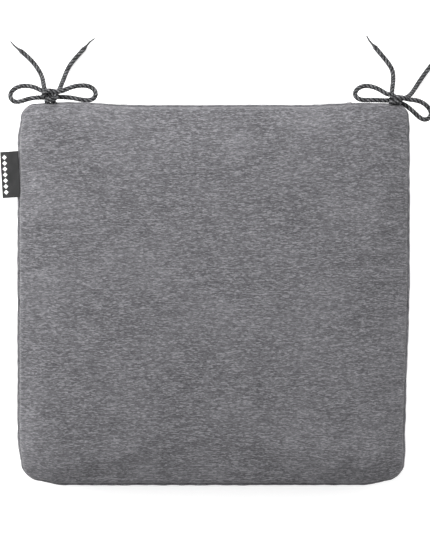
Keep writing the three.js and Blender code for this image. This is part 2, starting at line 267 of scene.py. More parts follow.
def evenly(line, step):
    along = np.concatenate([[0], np.cumsum(np.linalg.norm(np.diff(line, axis=0), axis=1))])
    count = int(round(along[-1] / step)) + 1
    at = np.linspace(0, along[-1], count)
    return np.column_stack([np.interp(at, along, line[:, i]) for i in range(3)])


bandLow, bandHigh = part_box("side_band")
rearCorner = 13  # the radius of the rear corners, in millimetres
padCorner = (bandHigh.x / mm - rearCorner, bandHigh.y / mm - rearCorner)

knotSet = {  # in millimetres
    "reach": 20,  # from the knot's middle, and within it the cords settle
    "fullShare": 0.6,  # of the reach in which they settle fully
    "lookShare": 1.3,  # of the reach in which they push on each other
    "spacing": 3.9,  # between the middles of two cords that touch
    "selfApart": 1.7,  # spacings along one cord before it can touch itself
    "pointsInSeam": 3,
    "pointsByPad": 6,
    "rounds": 160,
    "straighten": (0.5, -0.46),  # the second pass gives back what the first one shrinks
    "push": 0.9,
}


def settleKnot(arms, centre):
    # The arms' points near the knot push each other apart to a cord's width and are pulled straight between
    reach, spacing = knotSet["reach"], knotSet["spacing"]
    owner = np.concatenate([np.full(len(arm), i) for i, arm in enumerate(arms)])
    order = np.concatenate([np.arange(len(arm)) for arm in arms])
    pts = np.vstack(arms)
    step = np.linalg.norm(arms[0][1] - arms[0][0])
    free = 1 - ramp(knotSet["fullShare"] * reach, reach, np.linalg.norm(pts - centre, axis=1))
    free[order < knotSet["pointsInSeam"]] = 0
    near = np.linalg.norm(pts - centre, axis=1) < knotSet["lookShare"] * reach
    index = np.nonzero(near)[0]
    apart = (owner[index][:, None] != owner[index][None]) | (
        np.abs(order[index][:, None] - order[index][None]) * step > knotSet["selfApart"] * spacing)
    inner = np.nonzero((order > 0) & (free > 0))[0]
    corner = rearCorner + spacing / 2
    for _ in range(knotSet["rounds"]):
        for pull in knotSet["straighten"]:
            bend = (pts[inner - 1] + pts[inner + 1]) / 2 - pts[inner]
            pts[inner] += pull * free[inner, None] * bend
        p = pts[index]
        gapVector = p[:, None] - p[None]
        distance = np.linalg.norm(gapVector, axis=2)
        lack = np.where(apart & (distance < spacing), spacing - distance, 0)
        push = gapVector / np.maximum(distance, 1e-6)[:, :, None] * lack[:, :, None]
        touching = np.maximum((lack > 0).sum(1), 1)[:, None]
        pts[index] += knotSet["push"] * free[index][:, None] * push.sum(1) / touching
        onPad = np.column_stack([np.clip(pts[:, 0], -padCorner[0], padCorner[0]),
                                 np.minimum(pts[:, 1], padCorner[1])])
        off = pts[:, :2] - onPad
        clear = np.maximum(np.linalg.norm(off, axis=1), 1e-6)
        inside = (order > knotSet["pointsByPad"]) & (clear < corner)
        pts[inside, :2] += (free[inside] * (corner - clear[inside]) / clear[inside])[:, None] * off[inside]
    return [evenly(pts[owner == i], step) for i in range(len(arms))]


def sweptFrames(line):
    tangent = np.gradient(line, axis=0)
    tangent /= np.linalg.norm(tangent, axis=1)[:, None]
    normal = np.zeros_like(line)
    normal[0] = np.cross(tangent[0], (0, 0, 1))
    for i in range(1, len(line)):
        carried = normal[i - 1] - tangent[i] * (normal[i - 1] @ tangent[i])
        normal[i] = carried / np.linalg.norm(carried)
    normal[0] /= np.linalg.norm(normal[0])
    return tangent, normal, np.cross(tangent, normal)


def tubeFaces(rings, sides, base):
    faces = []
    for i in range(rings - 1):
        for j in range(sides):
            a = base + i * sides + j
            b = base + i * sides + (j + 1) % sides
            faces.append((a, b, b + sides, a + sides))
    faces.append(tuple(base + j for j in reversed(range(sides))))
    faces.append(tuple(base + (rings - 1) * sides + j for j in range(sides)))
    return faces


def braidAlong(name, line):
    # Two sets of strands turn opposite ways and pass over and under each other, round a plain core
    line = evenly(line, cordSet["step"])
    _, normal, across = sweptFrames(line)
    along = np.arange(len(line)) * cordSet["step"]
    half = cordSet["strandThickness"] / 2
    middle = cordSet["diameter"] / 2 + cordSet["fuzz"] - half - cordSet["weaveDepth"]
    each = cordSet["strandsEachWay"]
    turn = 2 * math.pi / cordSet["lay"]
    verts, faces, yarn = [], [], []
    for way in (1, -1):
        for strand in range(each):
            angle = 2 * math.pi * strand / each + way * turn * along
            lift = middle + way * cordSet["weaveDepth"] * np.cos(each * turn * along)
            outward = np.cos(angle)[:, None] * normal + np.sin(angle)[:, None] * across
            centre = line + lift[:, None] * outward
            run = np.gradient(centre, axis=0)
            run /= np.linalg.norm(run, axis=1)[:, None]
            sideways = np.cross(run, outward) * cordSet["strandWidth"] / 2
            shoulder = centre - cordSet["strandShoulder"] * half * outward
            section = np.stack([centre + half * outward, shoulder + sideways,
                                centre - half * outward, shoulder - sideways], 1)
            faces += tubeFaces(len(line), 4, len(verts))
            verts.extend(section.reshape(-1, 3))
            yarn += [cordSet["yarns"][way][strand]] * (4 * len(line))
    coarse = line[:: cordSet["corePerStep"]]
    sides = cordSet["coreSides"]
    _, normal, across = sweptFrames(coarse)
    core = np.stack([coarse + cordSet["coreRadius"] * (math.cos(a) * normal + math.sin(a) * across)
                     for a in (2 * math.pi * j / sides for j in range(sides))], 1)
    faces += tubeFaces(len(coarse), sides, len(verts))
    verts.extend(core.reshape(-1, 3))
    yarn += [0.0] * (sides * len(coarse))
    obj = meshPiece(name, verts, faces)
    attribute = obj.data.attributes.new("yarn", "FLOAT", "POINT")
    attribute.data.foreach_set("value", np.array(yarn, np.float32))
    faceOutwards(obj)
    smooth(obj)
    return obj


tipSet = {
    "length": 15 * mm,
    "sides": 12,
    # each ring's place as a share of the length, and its radius in millimetres
    "rings": [(0, 1.9), (0.05, 2), (0.11, 1.75), (0.2, 1.35), (0.3, 1.05), (0.6, 0.9), (1, 0.65)],
    "sway": 0.9 * mm,
    "swayTurn": 1.3,
}


def cordTip(name, end, direction):
    # The melted and drawn-out end of a cord: a ring pulled out and narrowed step by step
    deselectAll()
    bpy.ops.mesh.primitive_circle_add(vertices=tipSet["sides"], radius=tipSet["rings"][0][1] * mm,
                                      fill_type="NGON")
    obj = bpy.context.object
    obj.name = name
    editAll(obj)
    for (at, radius), (nextAt, nextRadius) in zip(tipSet["rings"], tipSet["rings"][1:]):
        rise = (nextAt - at) * tipSet["length"]
        bpy.ops.mesh.extrude_region_move(TRANSFORM_OT_translate={"value": (0, 0, rise)})
        share = nextRadius / radius
        bpy.ops.transform.resize(value=(share, share, 1), center_override=(0, 0, nextAt * tipSet["length"]))
    bpy.ops.object.mode_set(mode="OBJECT")
    faceOutwards(obj)
    co = pointsOf(obj)
    sway = tipSet["sway"] * np.sin(co[:, 2] / tipSet["length"] * math.pi * tipSet["swayTurn"])
    co[:, 0] += sway * (co[:, 2] / tipSet["length"])
    setPoints(obj, co)
    heading = Vector(direction).to_track_quat("Z", "Y").to_matrix().to_4x4()
    obj.data.transform(Matrix.Translation(Vector(end)) @ heading)
    smooth(obj, 40)
    return obj


def tiePair(label, tie):
    anchor = np.array(tie["anchor"], float)
    armA = [(-3, 1.1, 0), *tie["throughA"], *tie["loopA"], *tie["behindA"], *tie["tailB"]]
    armB = [(3, 1.1, 0), *tie["throughB"], *tie["loopB"], *tie["behindB"], *tie["tailA"]]
    lines = [splineThrough(np.array(arm) + anchor, 1) for arm in (armA, armB)]
    lines = settleKnot(lines, anchor + np.array(tie["knotCentre"]))
    for arm, other, line in (("a", "b", lines[0]), ("b", "a", lines[1])):
        line = line * mm
        cord = braidAlong(f"cord_{label}_{arm}", line)
        tip = cordTip(f"cord_end_{label}_{arm}", line[-1], line[-1] - line[-6])
        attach(cord, "pad")
        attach(tip, "pad")
        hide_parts(f"tie_{label}_stem_{arm}", f"tie_{label}_loop_{arm}", f"tie_{label}_tail_{other}")
        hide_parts(f"tie_{label}_tip_{other}")
        if arm == "a":
            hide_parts(f"tie_{label}_knot")
        cords.append(cord)
        cordEnds.append(tip)


cords, cordEnds = [], []
tiePair("left", leftTie)
tiePair("right", rightTie)
print("ties made")


# The cover: one closed shell of cloth is blown up over its seams, then cut into its panels

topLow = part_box("top_panel")[0]
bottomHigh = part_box("bottom_panel")[1]
stripLow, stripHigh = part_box("rear_band_upper")
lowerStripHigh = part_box("rear_band_lower")[1]

coverSet = {
    "halfWidth": bandHigh.x,
    "halfDepth": -bandLow.y,
    "upperSeam": (bandHigh.z + topLow.z) / 2,
    "lowerSeam": (bandLow.z + bottomHigh.z) / 2,
    "bulge": 1.2 * mm,
    "shoulderReach": 30 * mm,
    "shoulderRise": 8.4 * mm,
    "crownRise": 0.8 * mm,
    "crownReach": 80 * mm,
    "lowerReach": 8 * mm,
    "rearCorner": rearCorner * mm,
    "frontCorner": 18 * mm,
    "leanReach": 70 * mm,  # how far into the panels a seam's lean is felt
    "cell": 5 * mm,
    "arcSteps": 80,
    "edgeLines": [0, 1.2, 2.6, 4.4, 6.6, 9.4, 12.8, 17],  # millimetres in from a seam
    # millimetres down from the upper seam
    "bandRows": [0, 1.3, 3, 5.3, 7.9, 10.8, 13.4, 16, 18.6, 21.2, 23.6, 25.7, 27],
    "rearHalf": stripHigh.x,
    "zipTop": stripLow.z,
    "zipBottom": lowerStripHigh.z,
    "zipMiddle": (stripLow.z + lowerStripHigh.z) / 2,
    "zipHalf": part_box("zip_tape_upper")[1].x - 2 * mm,
    "rearShare": 0.9,  # of half the depth, and what lies past it is the rear
    "thickness": 0.9 * mm,
    "mostTop": 2.2 * mm,  # how far the pressure may move the cloth
    "mostBand": 0.3 * mm,
    "mostRear": 0.2 * mm,
    "heldAtSeam": 0.1 * mm,
    "heldAtFloor": 0.5 * mm,
}


leanSet = {  # in millimetres: how far in, from where, and to where along the side
    "left": [(4.6, 150, 196), (4.6, -140, -192)],
    "right": [(1.2, 165, 192), (4.6, 30, -160), (1.4, -160, -190)],
    "front": [(5.6, 150, 194)],
    "atLabel": (0.9, 123, 44),  # how far in, the middle and half the length of a soft dent
    "atTies": [(-3.6, -146, 66), (-2.6, 156, 66)],
    "alongZip": (-0.4, 0, 120),
    "zipWave": 31,
}


def pulledIn(x, y):
    # How far the seams stand in from a straight-sided plan, as each side was sewn and tied
    x, y = np.asarray(x) / mm, np.asarray(y) / mm

    def lean(side, at):
        return sum(most * ramp(start, full, at) for most, start, full in leanSet[side])

    def dent(most, centre, half, at):
        return most * bump(at, centre, half)

    left = lean("left", y) + dent(*leanSet["atLabel"], y)
    rear = sum(dent(*tie, x) for tie in leanSet["atTies"])
    rear = rear + np.sin(x / leanSet["zipWave"]) * dent(*leanSet["alongZip"], x)
    return {"left": left * mm, "right": lean("right", y) * mm, "front": lean("front", np.abs(x)) * mm,
            "rear": rear * mm}


coverPanel = {"top": 0, "band": 1, "bottom": 2, "rear_upper": 3, "rear_lower": 4, "zip": 5}


def shoulderTable(reach, rise):
    angle = np.linspace(0, math.pi / 2, coverSet["arcSteps"])
    inwards, up = reach * (1 - np.cos(angle)), rise * np.sin(angle)
    arc = np.concatenate([[0], np.cumsum(np.hypot(np.diff(inwards), np.diff(up)))])
    return arc, inwards, up / rise


def gridLines(half, spare):
    # Pattern distances across a panel: close together near both seams, a cell apart between
    edge = np.array(coverSet["edgeLines"]) * mm
    length = 2 * (half + spare)
    middle = np.linspace(edge[-1], length - edge[-1], int((length - 2 * edge[-1]) / coverSet["cell"]) + 1)
    return np.concatenate([edge[:-1], middle, (length - edge[:-1])[::-1]])


def panelPoints(reach, rise, seamHeight, crown, rearShare):
    # A panel's points and flat pattern places, on a grid that its seam line bounds
    halfX = coverSet["halfWidth"] - coverSet["bulge"]
    halfY = coverSet["halfDepth"] - coverSet["bulge"]
    arc, inwards, share = shoulderTable(reach, abs(rise))
    spare = arc[-1] - reach
    across, along = gridLines(halfX, topSpare), gridLines(halfY, topSpare)
    scale = [(2 * (half + spare)) / lines[-1] for half, lines in ((halfX, across), (halfY, along))]
    grid = []
    for lines, half, stretch in ((across, halfX, scale[0]), (along, halfY, scale[1])):
        s = lines * stretch
        near = np.minimum(s, s[-1] - s)
        e = np.where(near < arc[-1], np.interp(near, arc, inwards), near - spare)
        place = np.where(s < s[-1] / 2, e - half, half - e)
        grid.append((s - s[-1] / 2, place, e, np.interp(near, arc, share)))
    (u, x, ex, fx), (v, y, ey, fy) = grid
    u, v = np.meshgrid(u, v)
    x, y = np.meshgrid(x, y)
    ex, ey = np.meshgrid(ex, ey)
    fx, fy = np.meshgrid(fx, fy)
    radius = np.where(y > 0, coverSet["rearCorner"], coverSet["frontCorner"]) - coverSet["bulge"]
    a = np.clip((radius - ex) / radius, 0, 1)
    b = np.clip((radius - ey) / radius, 0, 1)
    corner = (a > 0) & (b > 0)
    roundX = halfX - radius + radius * a * np.sqrt(1 - b * b / 2)
    roundY = halfY - radius + radius * b * np.sqrt(1 - a * a / 2)
    x = np.where(corner, np.sign(x) * roundX, x)
    y = np.where(corner, np.sign(y) * roundY, y)
    pulls = pulledIn(x, y)
    fadeX, fadeY = (1 - ramp(0, coverSet["leanReach"], edge) for edge in (ex, ey))
    moveX = np.where(x < 0, pulls["left"], -pulls["right"]) * fadeX
    moveY = np.where(y < 0, pulls["front"], -rearShare * pulls["rear"]) * fadeY
    dome = ramp(0, coverSet["crownReach"], ex) * ramp(0, coverSet["crownReach"], ey)
    z = seamHeight + rise * fx * fy + crown * dome
    points = np.stack([x + moveX, y + moveY, z], 2)
    return points, np.stack([u, v], 2), np.minimum(ex, ey)


def rimOf(rows, columns):
    # The grid's boundary as an ordered ring of indices, anticlockwise from the front left
    ring = [(0, j) for j in range(columns - 1)] + [(i, columns - 1) for i in range(rows - 1)]
    ring += [(rows - 1, j) for j in range(columns - 1, 0, -1)] + [(i, 0) for i in range(rows - 1, 0, -1)]
    return [i * columns + j for i, j in ring]


arcTop = shoulderTable(coverSet["shoulderReach"], coverSet["shoulderRise"])[0]
topSpare = arcTop[-1] - coverSet["shoulderReach"]


def coverShell():
    top, topPattern, topEdge = panelPoints(coverSet["shoulderReach"], coverSet["shoulderRise"],
                                           coverSet["upperSeam"], coverSet["crownRise"], 1)
    low, lowPattern, lowEdge = panelPoints(coverSet["lowerReach"], -coverSet["lowerSeam"],
                                           coverSet["lowerSeam"], 0, 0)
    rows, columns = top.shape[:2]
    count = rows * columns
    rim = rimOf(rows, columns)
    rimXY = top.reshape(-1, 3)[rim][:, :2]
    lowXY = low.reshape(-1, 3)[rim][:, :2]  # straight at the rear, where the top stands out over the zip
    tangent = np.roll(rimXY, -1, 0) - np.roll(rimXY, 1, 0)
    outward = np.column_stack([tangent[:, 1], -tangent[:, 0]]) / np.linalg.norm(tangent, axis=1)[:, None]
    rimLength = np.concatenate([[0], np.cumsum(np.linalg.norm(np.diff(
        np.vstack([rimXY, rimXY[:1]]), axis=0), axis=1))])
    verts = list(top.reshape(-1, 3)) + list(low.reshape(-1, 3))
    drop = np.array(coverSet["bandRows"]) * mm
    height = coverSet["upperSeam"] - coverSet["lowerSeam"]
    rings = [rim]
    for d in drop[1:-1]:
        t = d / height
        lower = ramp(0, coverSet["upperSeam"] - coverSet["zipTop"], d)
        out = rimXY + (lowXY - rimXY) * lower + coverSet["bulge"] * (1 - (2 * t - 1) ** 2) * outward
        rings.append(list(range(len(verts), len(verts) + len(rim))))
        verts += [np.array([x, y, coverSet["upperSeam"] - d]) for x, y in out]
    rings.append([count + k for k in rim])
    faces, pattern, panel = [], [], []
    for i in range(rows - 1):
        for j in range(columns - 1):
            a = i * columns + j
            quad = (a, a + 1, a + 1 + columns, a + columns)
            faces.append(quad)
            pattern.append([topPattern.reshape(-1, 2)[k] for k in quad])
            panel.append(coverPanel["top"])
            faces.append(tuple(count + k for k in reversed(quad)))
            pattern.append([lowPattern.reshape(-1, 2)[k] for k in reversed(quad)])
            panel.append(coverPanel["bottom"])
    for r in range(len(rings) - 1):
        for c in range(len(rim)):
            n = (c + 1) % len(rim)
            quad = (rings[r + 1][c], rings[r + 1][n], rings[r][n], rings[r][c])
            faces.append(quad)
            pattern.append([(rimLength[c], -drop[r + 1]), (rimLength[c + 1], -drop[r + 1]),
                            (rimLength[c + 1], -drop[r]), (rimLength[c], -drop[r])])
            middle = (rimXY[c] + rimXY[n]) / 2
            z = coverSet["upperSeam"] - (drop[r] + drop[r + 1]) / 2
            farBack = middle[1] > coverSet["rearShare"] * coverSet["halfDepth"]
            if not farBack or abs(middle[0]) >= coverSet["rearHalf"]:
                key = "band"
            elif coverSet["zipBottom"] < z < coverSet["zipTop"] and abs(middle[0]) < coverSet["zipHalf"]:
                key = "zip"
            else:
                key = "rear_upper" if z > coverSet["zipMiddle"] else "rear_lower"
            panel.append(coverPanel[key])
    shell = meshPiece("cover_shell", verts, faces)
    uv = shell.data.uv_layers.new(name="pattern")
    uv.data.foreach_set("uv", np.array(pattern, float).reshape(-1, 2).ravel())
    shell.data.attributes.new("panel", "INT", "FACE").data.foreach_set("value", panel)
    faceOutwards(shell)
    seamDistance = np.full(len(verts), 1.0)
    seamDistance[:count] = topEdge.ravel()
    seamDistance[count: 2 * count] = lowEdge.ravel()
    for ring, d in zip(rings[1:-1], drop[1:-1]):
        seamDistance[ring] = min(d, height - d)
    seamDistance[rim] = 0
    seamDistance[[count + k for k in rim]] = 0
    return shell, seamDistance


def panelNumbers(obj):
    values = np.zeros(len(obj.data.polygons), int)
    obj.data.attributes["panel"].data.foreach_get("value", values)
    return values


def panelMask(obj, key):
    mask = np.zeros(len(obj.data.vertices), bool)
    for face, value in zip(obj.data.polygons, panelNumbers(obj)):
        if value == coverPanel[key]:
            mask[list(face.vertices)] = True
    return mask


blowSet = {
    "quality": 5,
    "mass": 0.3,
    "tension_stiffness": 15,
    "compression_stiffness": 15,
    "shear_stiffness": 5,
    "bending_stiffness": 0.5,
    "shrink_min": -0.012,  # the cloth grows by this much
    "use_pressure": True,
    "uniform_pressure_force": 4,
    "vertex_group_mass": "held",
}
blowSteps = 20


def blowUp(shell, seamDistance):
    # Cloth under pressure, held at its seams and at the zip, with its travel capped
    start = pointsOf(shell)
    held = (seamDistance < coverSet["heldAtSeam"]) | panelMask(shell, "zip")
    held |= panelMask(shell, "bottom") & (start[:, 2] < coverSet["heldAtFloor"])
    group = shell.vertex_groups.new(name="held")
    group.add([int(i) for i in np.nonzero(held)[0]], 1, "REPLACE")
    cloth = shell.modifiers.new("cloth", "CLOTH")
    for key, value in blowSet.items():
        setattr(cloth.settings, key, value)
    cloth.settings.effector_weights.gravity = 0
    cloth.collision_settings.use_collision = False
    scene = bpy.context.scene
    for step in range(1, blowSteps + 1):
        scene.frame_set(step)
    applyAll(shell)
    scene.frame_set(1)
    shell.vertex_groups.clear()
    moved = pointsOf(shell) - start
    far = np.linalg.norm(moved, axis=1)
    most = np.where(panelMask(shell, "top"), coverSet["mostTop"], coverSet["mostBand"])
    most[panelMask(shell, "rear_upper") | panelMask(shell, "rear_lower")] = coverSet["mostRear"]
    capped = most * np.tanh(far / most)
    setPoints(shell, start + moved * (capped / np.maximum(far, 1e-9))[:, None])


shell, seamDistance = coverShell()
print("cover shell:", len(shell.data.vertices), "points")
blowUp(shell, seamDistance)
print("cover blown up")
shell.data.attributes.new("seam", "FLOAT", "POINT").data.foreach_set("value", seamDistance.astype(np.float32))


seamSet = {
    "reach": 14 * mm,  # how far from a seam the cloth is shaped by it
    "groove": 1.4 * mm,
    "grooveWidth": 1.1 * mm,
    "ridge": 0.45 * mm,
    "ridgeFromSeam": 4 * mm,
    "ridgeWidth": 2.2 * mm,
    "ripple": 0.16 * mm,
    "rippleWidth": 7 * mm,
    "pucker": 9 * mm,  # from one pucker to the next
    "unevenness": 0.35,  # puckers to one change in the ridge
    "grooveUneven": 0.3,
    "ridgeUneven": 0.6,
}


def around(distance, width):
    return np.exp(-((distance / width) ** 2))


def finishShell():
    finer = shell.modifiers.new("finer", "SUBSURF")
    finer.levels = finer.render_levels = 1
    finer.uv_smooth = "NONE"
    applyAll(shell)
    co = pointsOf(shell)
    distance = np.zeros(len(co), np.float32)
    shell.data.attributes["seam"].data.foreach_get("value", distance)
    normals = np.zeros(len(co) * 3, np.float32)
    shell.data.vertex_normals.foreach_get("vector", normals)
    normals = normals.reshape(-1, 3)
    near = distance < seamSet["reach"]
    elsewhere = Vector((7, 3, 1))  # so that the ridge doesn't follow the puckers
    pucker = np.zeros(len(co))
    tone = np.zeros(len(co))
    for i in np.nonzero(near)[0]:
        at = Vector(co[i]) / seamSet["pucker"]
        pucker[i] = noise.noise(at)
        tone[i] = noise.noise(at * seamSet["unevenness"] + elsewhere)
    groove = seamSet["groove"] * around(distance, seamSet["grooveWidth"])
    groove *= 1 + seamSet["grooveUneven"] * pucker
    fromRidge = distance - seamSet["ridgeFromSeam"]
    ridge = seamSet["ridge"] * around(fromRidge, seamSet["ridgeWidth"]) * (1 + seamSet["ridgeUneven"] * tone)
    ripple = seamSet["ripple"] * pucker * around(distance, seamSet["rippleWidth"])
    co += (ridge + ripple - groove)[:, None] * normals
    co[:, 2] = np.maximum(co[:, 2], 0)
    setPoints(shell, co)


def cutPanel(key, node):
    piece = shell.copy()
    piece.data = shell.data.copy()
    piece.name = f"cover_{key}"
    bpy.context.scene.collection.objects.link(piece)
    pick(piece)
    bpy.ops.object.mode_set(mode="EDIT")
    bpy.ops.mesh.select_mode(type="FACE")
    bpy.ops.mesh.select_all(action="DESELECT")
    bpy.ops.object.mode_set(mode="OBJECT")
    piece.data.polygons.foreach_set("select", panelNumbers(piece) != coverPanel[key])
    bpy.ops.object.mode_set(mode="EDIT")
    bpy.ops.mesh.delete(type="FACE")
    bpy.ops.object.mode_set(mode="OBJECT")
    wall = piece.modifiers.new("wall", "SOLIDIFY")
    wall.thickness = coverSet["thickness"]
    wall.offset = -1
    applyAll(piece)
    smooth(piece, 60)
    standsFor(piece, node, "pad")
    return piece


finishShell()
coverPieces = {
    key: cutPanel(key, node)
    for key, node in (("top", "top_panel"), ("band", "side_band"), ("bottom", "bottom_panel"),
                      ("rear_upper", "rear_band_upper"), ("rear_lower", "rear_band_lower"))
}
bpy.data.objects.remove(shell)
print("cover panels cut")


# The filling: a foam slab with a layer of wadding on it

fillingSet = {
    "foamEdge": 1.5 * mm,
    "waddingShare": 0.86,  # of the room for it that the wadding fills
    "waddingVoxel": 4 * mm,
    "waddingFoot": 1.5 * mm,  # the wadding is even up to here
    "fluff": 0.5 * mm,
    "fluffCell": 11 * mm,
    "fluffSunk": 0.6,
}


def copyOfNode(node, name):
    piece = nodes[node].copy()
    piece.data = nodes[node].data.copy()
    piece.name = name
    piece.parent = None
    for key in list(piece.keys()):
        del piece[key]
    bpy.context.scene.collection.objects.link(piece)
    piece.data.materials.clear()
    editAll(piece)
    bpy.ops.mesh.remove_doubles(threshold=0.01 * mm)
    bpy.ops.mesh.normals_make_consistent(inside=False)
    bpy.ops.object.mode_set(mode="OBJECT")
    return piece


def followCover(co):
    # Points of the filling move in with the cover's pulled-in sides
    pulls = pulledIn(co[:, 0], co[:, 1])
    fadeX = 1 - ramp(0, coverSet["leanReach"], coverSet["halfWidth"] - np.abs(co[:, 0]))
    fadeY = 1 - ramp(0, coverSet["leanReach"], coverSet["halfDepth"] - np.abs(co[:, 1]))
    co[:, 0] += np.where(co[:, 0] < 0, pulls["left"], -pulls["right"]) * fadeX
    co[:, 1] += np.where(co[:, 1] < 0, pulls["front"], -np.maximum(pulls["rear"], 0)) * fadeY
    return co


def fillingPieces():
    foam = copyOfNode("foam_core", "foam_slab")
    setPoints(foam, followCover(pointsOf(foam)))
    rounded(foam, fillingSet["foamEdge"])
    standsFor(foam, "foam_core", "pad")
    wadding = copyOfNode("wadding_top", "wadding_layer")
    co = followCover(pointsOf(wadding))
    base = co[:, 2].min()
    co[:, 2] = base + (co[:, 2] - base) * fillingSet["waddingShare"]
    setPoints(wadding, co)
    remesh = wadding.modifiers.new("remesh", "REMESH")
    remesh.mode = "VOXEL"
    remesh.voxel_size = fillingSet["waddingVoxel"]
    applyAll(wadding)
    co = pointsOf(wadding)
    for point in co:
        if point[2] > base + fillingSet["waddingFoot"]:
            swell = noise.noise(Vector(point) / fillingSet["fluffCell"]) - fillingSet["fluffSunk"]
            point[2] += fillingSet["fluff"] * swell
    setPoints(wadding, co)
    smooth(wadding)
    standsFor(wadding, "wadding_top", "pad")
    return foam, wadding


foamSlab, waddingLayer = fillingPieces()
print("filling made")


# The zip: woven tapes, coil teeth, stops, slider and pull

zipSet = {
    "pitch": 1.2 * mm,
    "toothWire": 0.34 * mm,
    "toothReach": 0.55 * mm,  # past the tape row's edge, into the other row
    "turnSides": (10, 5),  # round a turn of the coil, and round its wire
    "metalEdge": 0.28 * mm,
    "tapeEdge": 0.12 * mm,
    "tapeWave": 0.25 * mm,
    "tapeWaveLength": 17 * mm,
    "stitchPitch": 3.2 * mm,
    "stitchSize": (1.2 * mm, 0.3 * mm, 0.28 * mm),
    "stitchFromFold": 2.6 * mm,
    "stitchFromEnd": 6 * mm,
    "stitchTilt": 0.09,
}


def zipTapePiece(node, name):
    # The side at the coil is straight, and the sewn side waves a little
    low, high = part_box(node)
    deselectAll()
    bpy.ops.mesh.primitive_cube_add(size=1, location=(low + high) / 2, scale=high - low)
    tape = bpy.context.object
    tape.name = name
    bpy.ops.object.transform_apply()
    editAll(tape)
    bpy.ops.mesh.subdivide(number_cuts=7)
    bpy.ops.object.mode_set(mode="OBJECT")
    co = pointsOf(tape)
    middle = (low + high) / 2
    towards = np.sign(coilMiddle.z - middle.z)
    edge = np.clip((co[:, 2] - middle.z) * towards / ((high.z - low.z) / 2), 0, 1)
    co[:, 1] += zipSet["tapeWave"] * np.sin(co[:, 0] / zipSet["tapeWaveLength"]) * (1 - edge)
    co[:, 1] = np.minimum(co[:, 1], high.y)
    setPoints(tape, co)
    rounded(tape, zipSet["tapeEdge"])
    return standsFor(tape, node, "pad")


def coilRow(node, name, way):
    # One turn of the coil, repeated along the row; way is the side of the middle that the row lies on
    low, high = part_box(node)
    tip = (low.z if way > 0 else high.z) - way * zipSet["toothReach"]
    root = high.z if way > 0 else low.z
    depth = (high.y - low.y) / 2 - zipSet["toothWire"]
    start = low.x + zipSet["pitch"] * (0.5 if way > 0 else 1)
    deselectAll()
    bpy.ops.mesh.primitive_torus_add(
        location=(start, (low.y + high.y) / 2, (tip + root) / 2), rotation=(0, math.pi / 2, 0),
        major_segments=zipSet["turnSides"][0], minor_segments=zipSet["turnSides"][1],
        major_radius=depth, minor_radius=zipSet["toothWire"])
    row = bpy.context.object
    row.name = name
    bpy.ops.object.transform_apply()
    editAll(row)
    reach = abs(root - tip) / 2 / (depth + zipSet["toothWire"])
    bpy.ops.transform.resize(value=(1, 1, reach), center_override=(start, 0, (tip + root) / 2))
    bpy.ops.object.mode_set(mode="OBJECT")
    turns = row.modifiers.new("turns", "ARRAY")
    turns.use_relative_offset = False
    turns.use_constant_offset = True
    turns.constant_offset_displace = (zipSet["pitch"], 0, 0)
    turns.count = int((high.x - start - zipSet["toothWire"]) / zipSet["pitch"])
    applyAll(row)
    smooth(row)
    return standsFor(row, node, "pad")


def stitchRow(name, panel, height):
    # Stitches lie on the panel where a ray from behind meets it
    end = coverSet["rearHalf"] - zipSet["stitchFromEnd"]
    behind = 0.25
    deselectAll()
    bpy.ops.mesh.primitive_uv_sphere_add(segments=6, ring_count=4, radius=1)
    one = bpy.context.object
    shape = pointsOf(one) * zipSet["stitchSize"]
    faces = [tuple(face.vertices) for face in one.data.polygons]
    bpy.data.objects.remove(one)
    verts, allFaces = [], []
    for x in np.arange(-end, end, zipSet["stitchPitch"]):
        hit, place, _, _ = panel.ray_cast(Vector((x, behind, height)), Vector((0, -1, 0)))
        if not hit:
            continue
        turned = shape.copy()
        turned[:, 2] += turned[:, 0] * zipSet["stitchTilt"] * math.sin(x / mm)
        allFaces += [tuple(len(verts) + i for i in face) for face in faces]
        verts += list(turned + np.array(place))
    row = meshPiece(name, verts, allFaces)
    faceOutwards(row)
    smooth(row)
    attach(row, "pad")
    return row


coilMiddle = (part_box("zip_coil_upper")[0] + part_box("zip_coil_lower")[1]) / 2
tapes = [zipTapePiece(f"zip_tape_{row}", f"tape_{row}") for row in ("upper", "lower")]
coils = [coilRow("zip_coil_upper", "coil_teeth_upper", 1), coilRow("zip_coil_lower", "coil_teeth_lower", -1)]
zipMetalPieces = []
for node, body in (("zip_top_stop_upper", "pad"), ("zip_top_stop_lower", "pad"), ("zip_bottom_stop", "pad"),
                   ("zip_slider", "slider"), ("zip_pull", "pull")):
    part = copyOfNode(node, node.replace("zip", "metal"))
    rounded(part, zipSet["metalEdge"])
    zipMetalPieces.append(standsFor(part, node, body))
stitches = [
    stitchRow("stitches_upper", coverPieces["rear_upper"], coverSet["zipTop"] + zipSet["stitchFromFold"]),
    stitchRow("stitches_lower", coverPieces["rear_lower"], coverSet["zipBottom"] - zipSet["stitchFromFold"]),
]
print("zip made")


# The side label: a satin ribbon folded double, its ends in the seam

labelLow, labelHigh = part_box("side_label")
labelSet = {
    "length": 18.2 * mm,
    "cells": (64, 24),
    "rootDepth": 1.2 * mm,  # of it in the seam
    "bendLength": 5 * mm,  # of it that bends when the label is folded up or down
    "droop": 10,
    "skew": 3,
    "layerGap": 0.5 * mm,  # half the gap between the two layers' middles
    "thickness": 0.36 * mm,
    "wave": 0.35 * mm,
    "waveTurn": 5,
    "waveStart": 0.6,
    "waveGrowth": 1.5,
}


